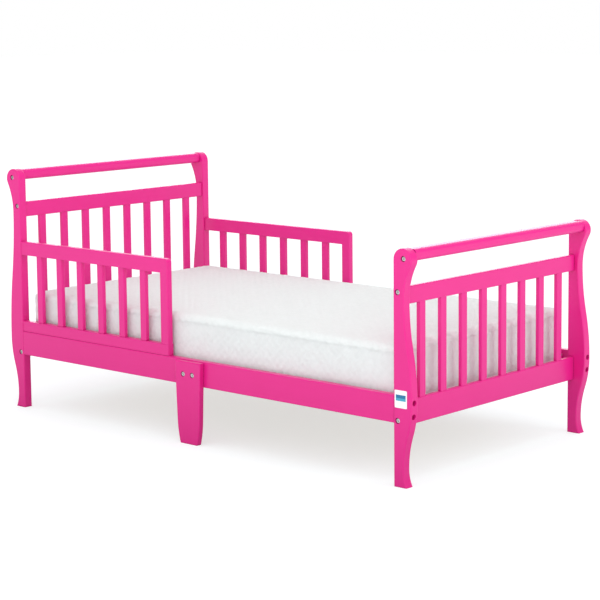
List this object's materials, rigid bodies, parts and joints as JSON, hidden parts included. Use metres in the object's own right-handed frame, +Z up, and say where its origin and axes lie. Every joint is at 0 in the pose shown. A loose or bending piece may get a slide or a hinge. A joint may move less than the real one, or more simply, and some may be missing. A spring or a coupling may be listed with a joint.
{
  "type": "toddler bed",
  "caption": "Low sleigh-style toddler bed with rolled end posts, slatted head and foot frames, side guard rails, centre legs, slatted base and lift-out mattress.",
  "frame": {"origin": "centre of the footprint, on the floor", "axes": "+X from the headboard to the footboard, +Y across the bed, +Z up"},
  "size_m": [1.448, 0.772, 0.673],
  "materials": {
    "painted_wood": "satin painted",
    "bare_wood": "sanded, unpainted",
    "bolt_steel": "nickel-plated satin",
    "zinc_steel": "zinc-plated",
    "mattress_cover": "soft embossed knit cover",
    "blank_label": "matte vinyl film"
  },
  "bodies": {
    "frame": {"barrel_nuts": "zinc_steel", "centre_leg_bolts": "bolt_steel", "centre_leg_far": "painted_wood", "centre_leg_near": "painted_wood", "foot_crest_rail": "painted_wood", "foot_lower_rail": "painted_wood", "foot_post_far": "painted_wood", "foot_post_near": "painted_wood", "foot_slat_1": "painted_wood", "foot_slat_2": "painted_wood", "foot_slat_3": "painted_wood", "foot_slat_4": "painted_wood", "foot_slat_5": "painted_wood", "foot_slat_6": "painted_wood", "foot_slat_7": "painted_wood", "foot_slat_8": "painted_wood", "foot_upper_rail": "painted_wood", "guard_bolts": "bolt_steel", "guard_bottom_rail_far": "painted_wood", "guard_bottom_rail_near": "painted_wood", "guard_end_post_far": "painted_wood", "guard_end_post_near": "painted_wood", "guard_slat_1_far": "painted_wood", "guard_slat_1_near": "painted_wood", "guard_slat_2_far": "painted_wood", "guard_slat_2_near": "painted_wood", "guard_slat_3_far": "painted_wood", "guard_slat_3_near": "painted_wood", "guard_slat_4_far": "painted_wood", "guard_slat_4_near": "painted_wood", "guard_slat_5_far": "painted_wood", "guard_slat_5_near": "painted_wood", "guard_slat_6_far": "painted_wood", "guard_slat_6_near": "painted_wood", "guard_top_rail_far": "painted_wood", "guard_top_rail_near": "painted_wood", "head_crest_rail": "painted_wood", "head_lower_rail": "painted_wood", "head_post_far": "painted_wood", "head_post_near": "painted_wood", "head_slat_1": "painted_wood", "head_slat_2": "painted_wood", "head_slat_3": "painted_wood", "head_slat_4": "painted_wood", "head_slat_5": "painted_wood", "head_slat_6": "painted_wood", "head_slat_7": "painted_wood", "head_slat_8": "painted_wood", "head_upper_rail": "painted_wood", "ledger_cleat_far": "painted_wood", "ledger_cleat_near": "painted_wood", "post_bolts": "bolt_steel", "side_rail_bolts": "bolt_steel", "side_rail_far": "painted_wood", "side_rail_near": "painted_wood", "slat_screws": "zinc_steel", "support_slats": "bare_wood", "threaded_inserts": "zinc_steel", "wood_dowels": "bare_wood"},
    "mattress": {"mattress": "mattress_cover"}
  },
  "joints": [
    {"name": "mattress_lift", "type": "slide", "parent": "frame", "child": "mattress", "axis": [0, 0, 1], "range_m": [0, 0.3]}
  ]
}
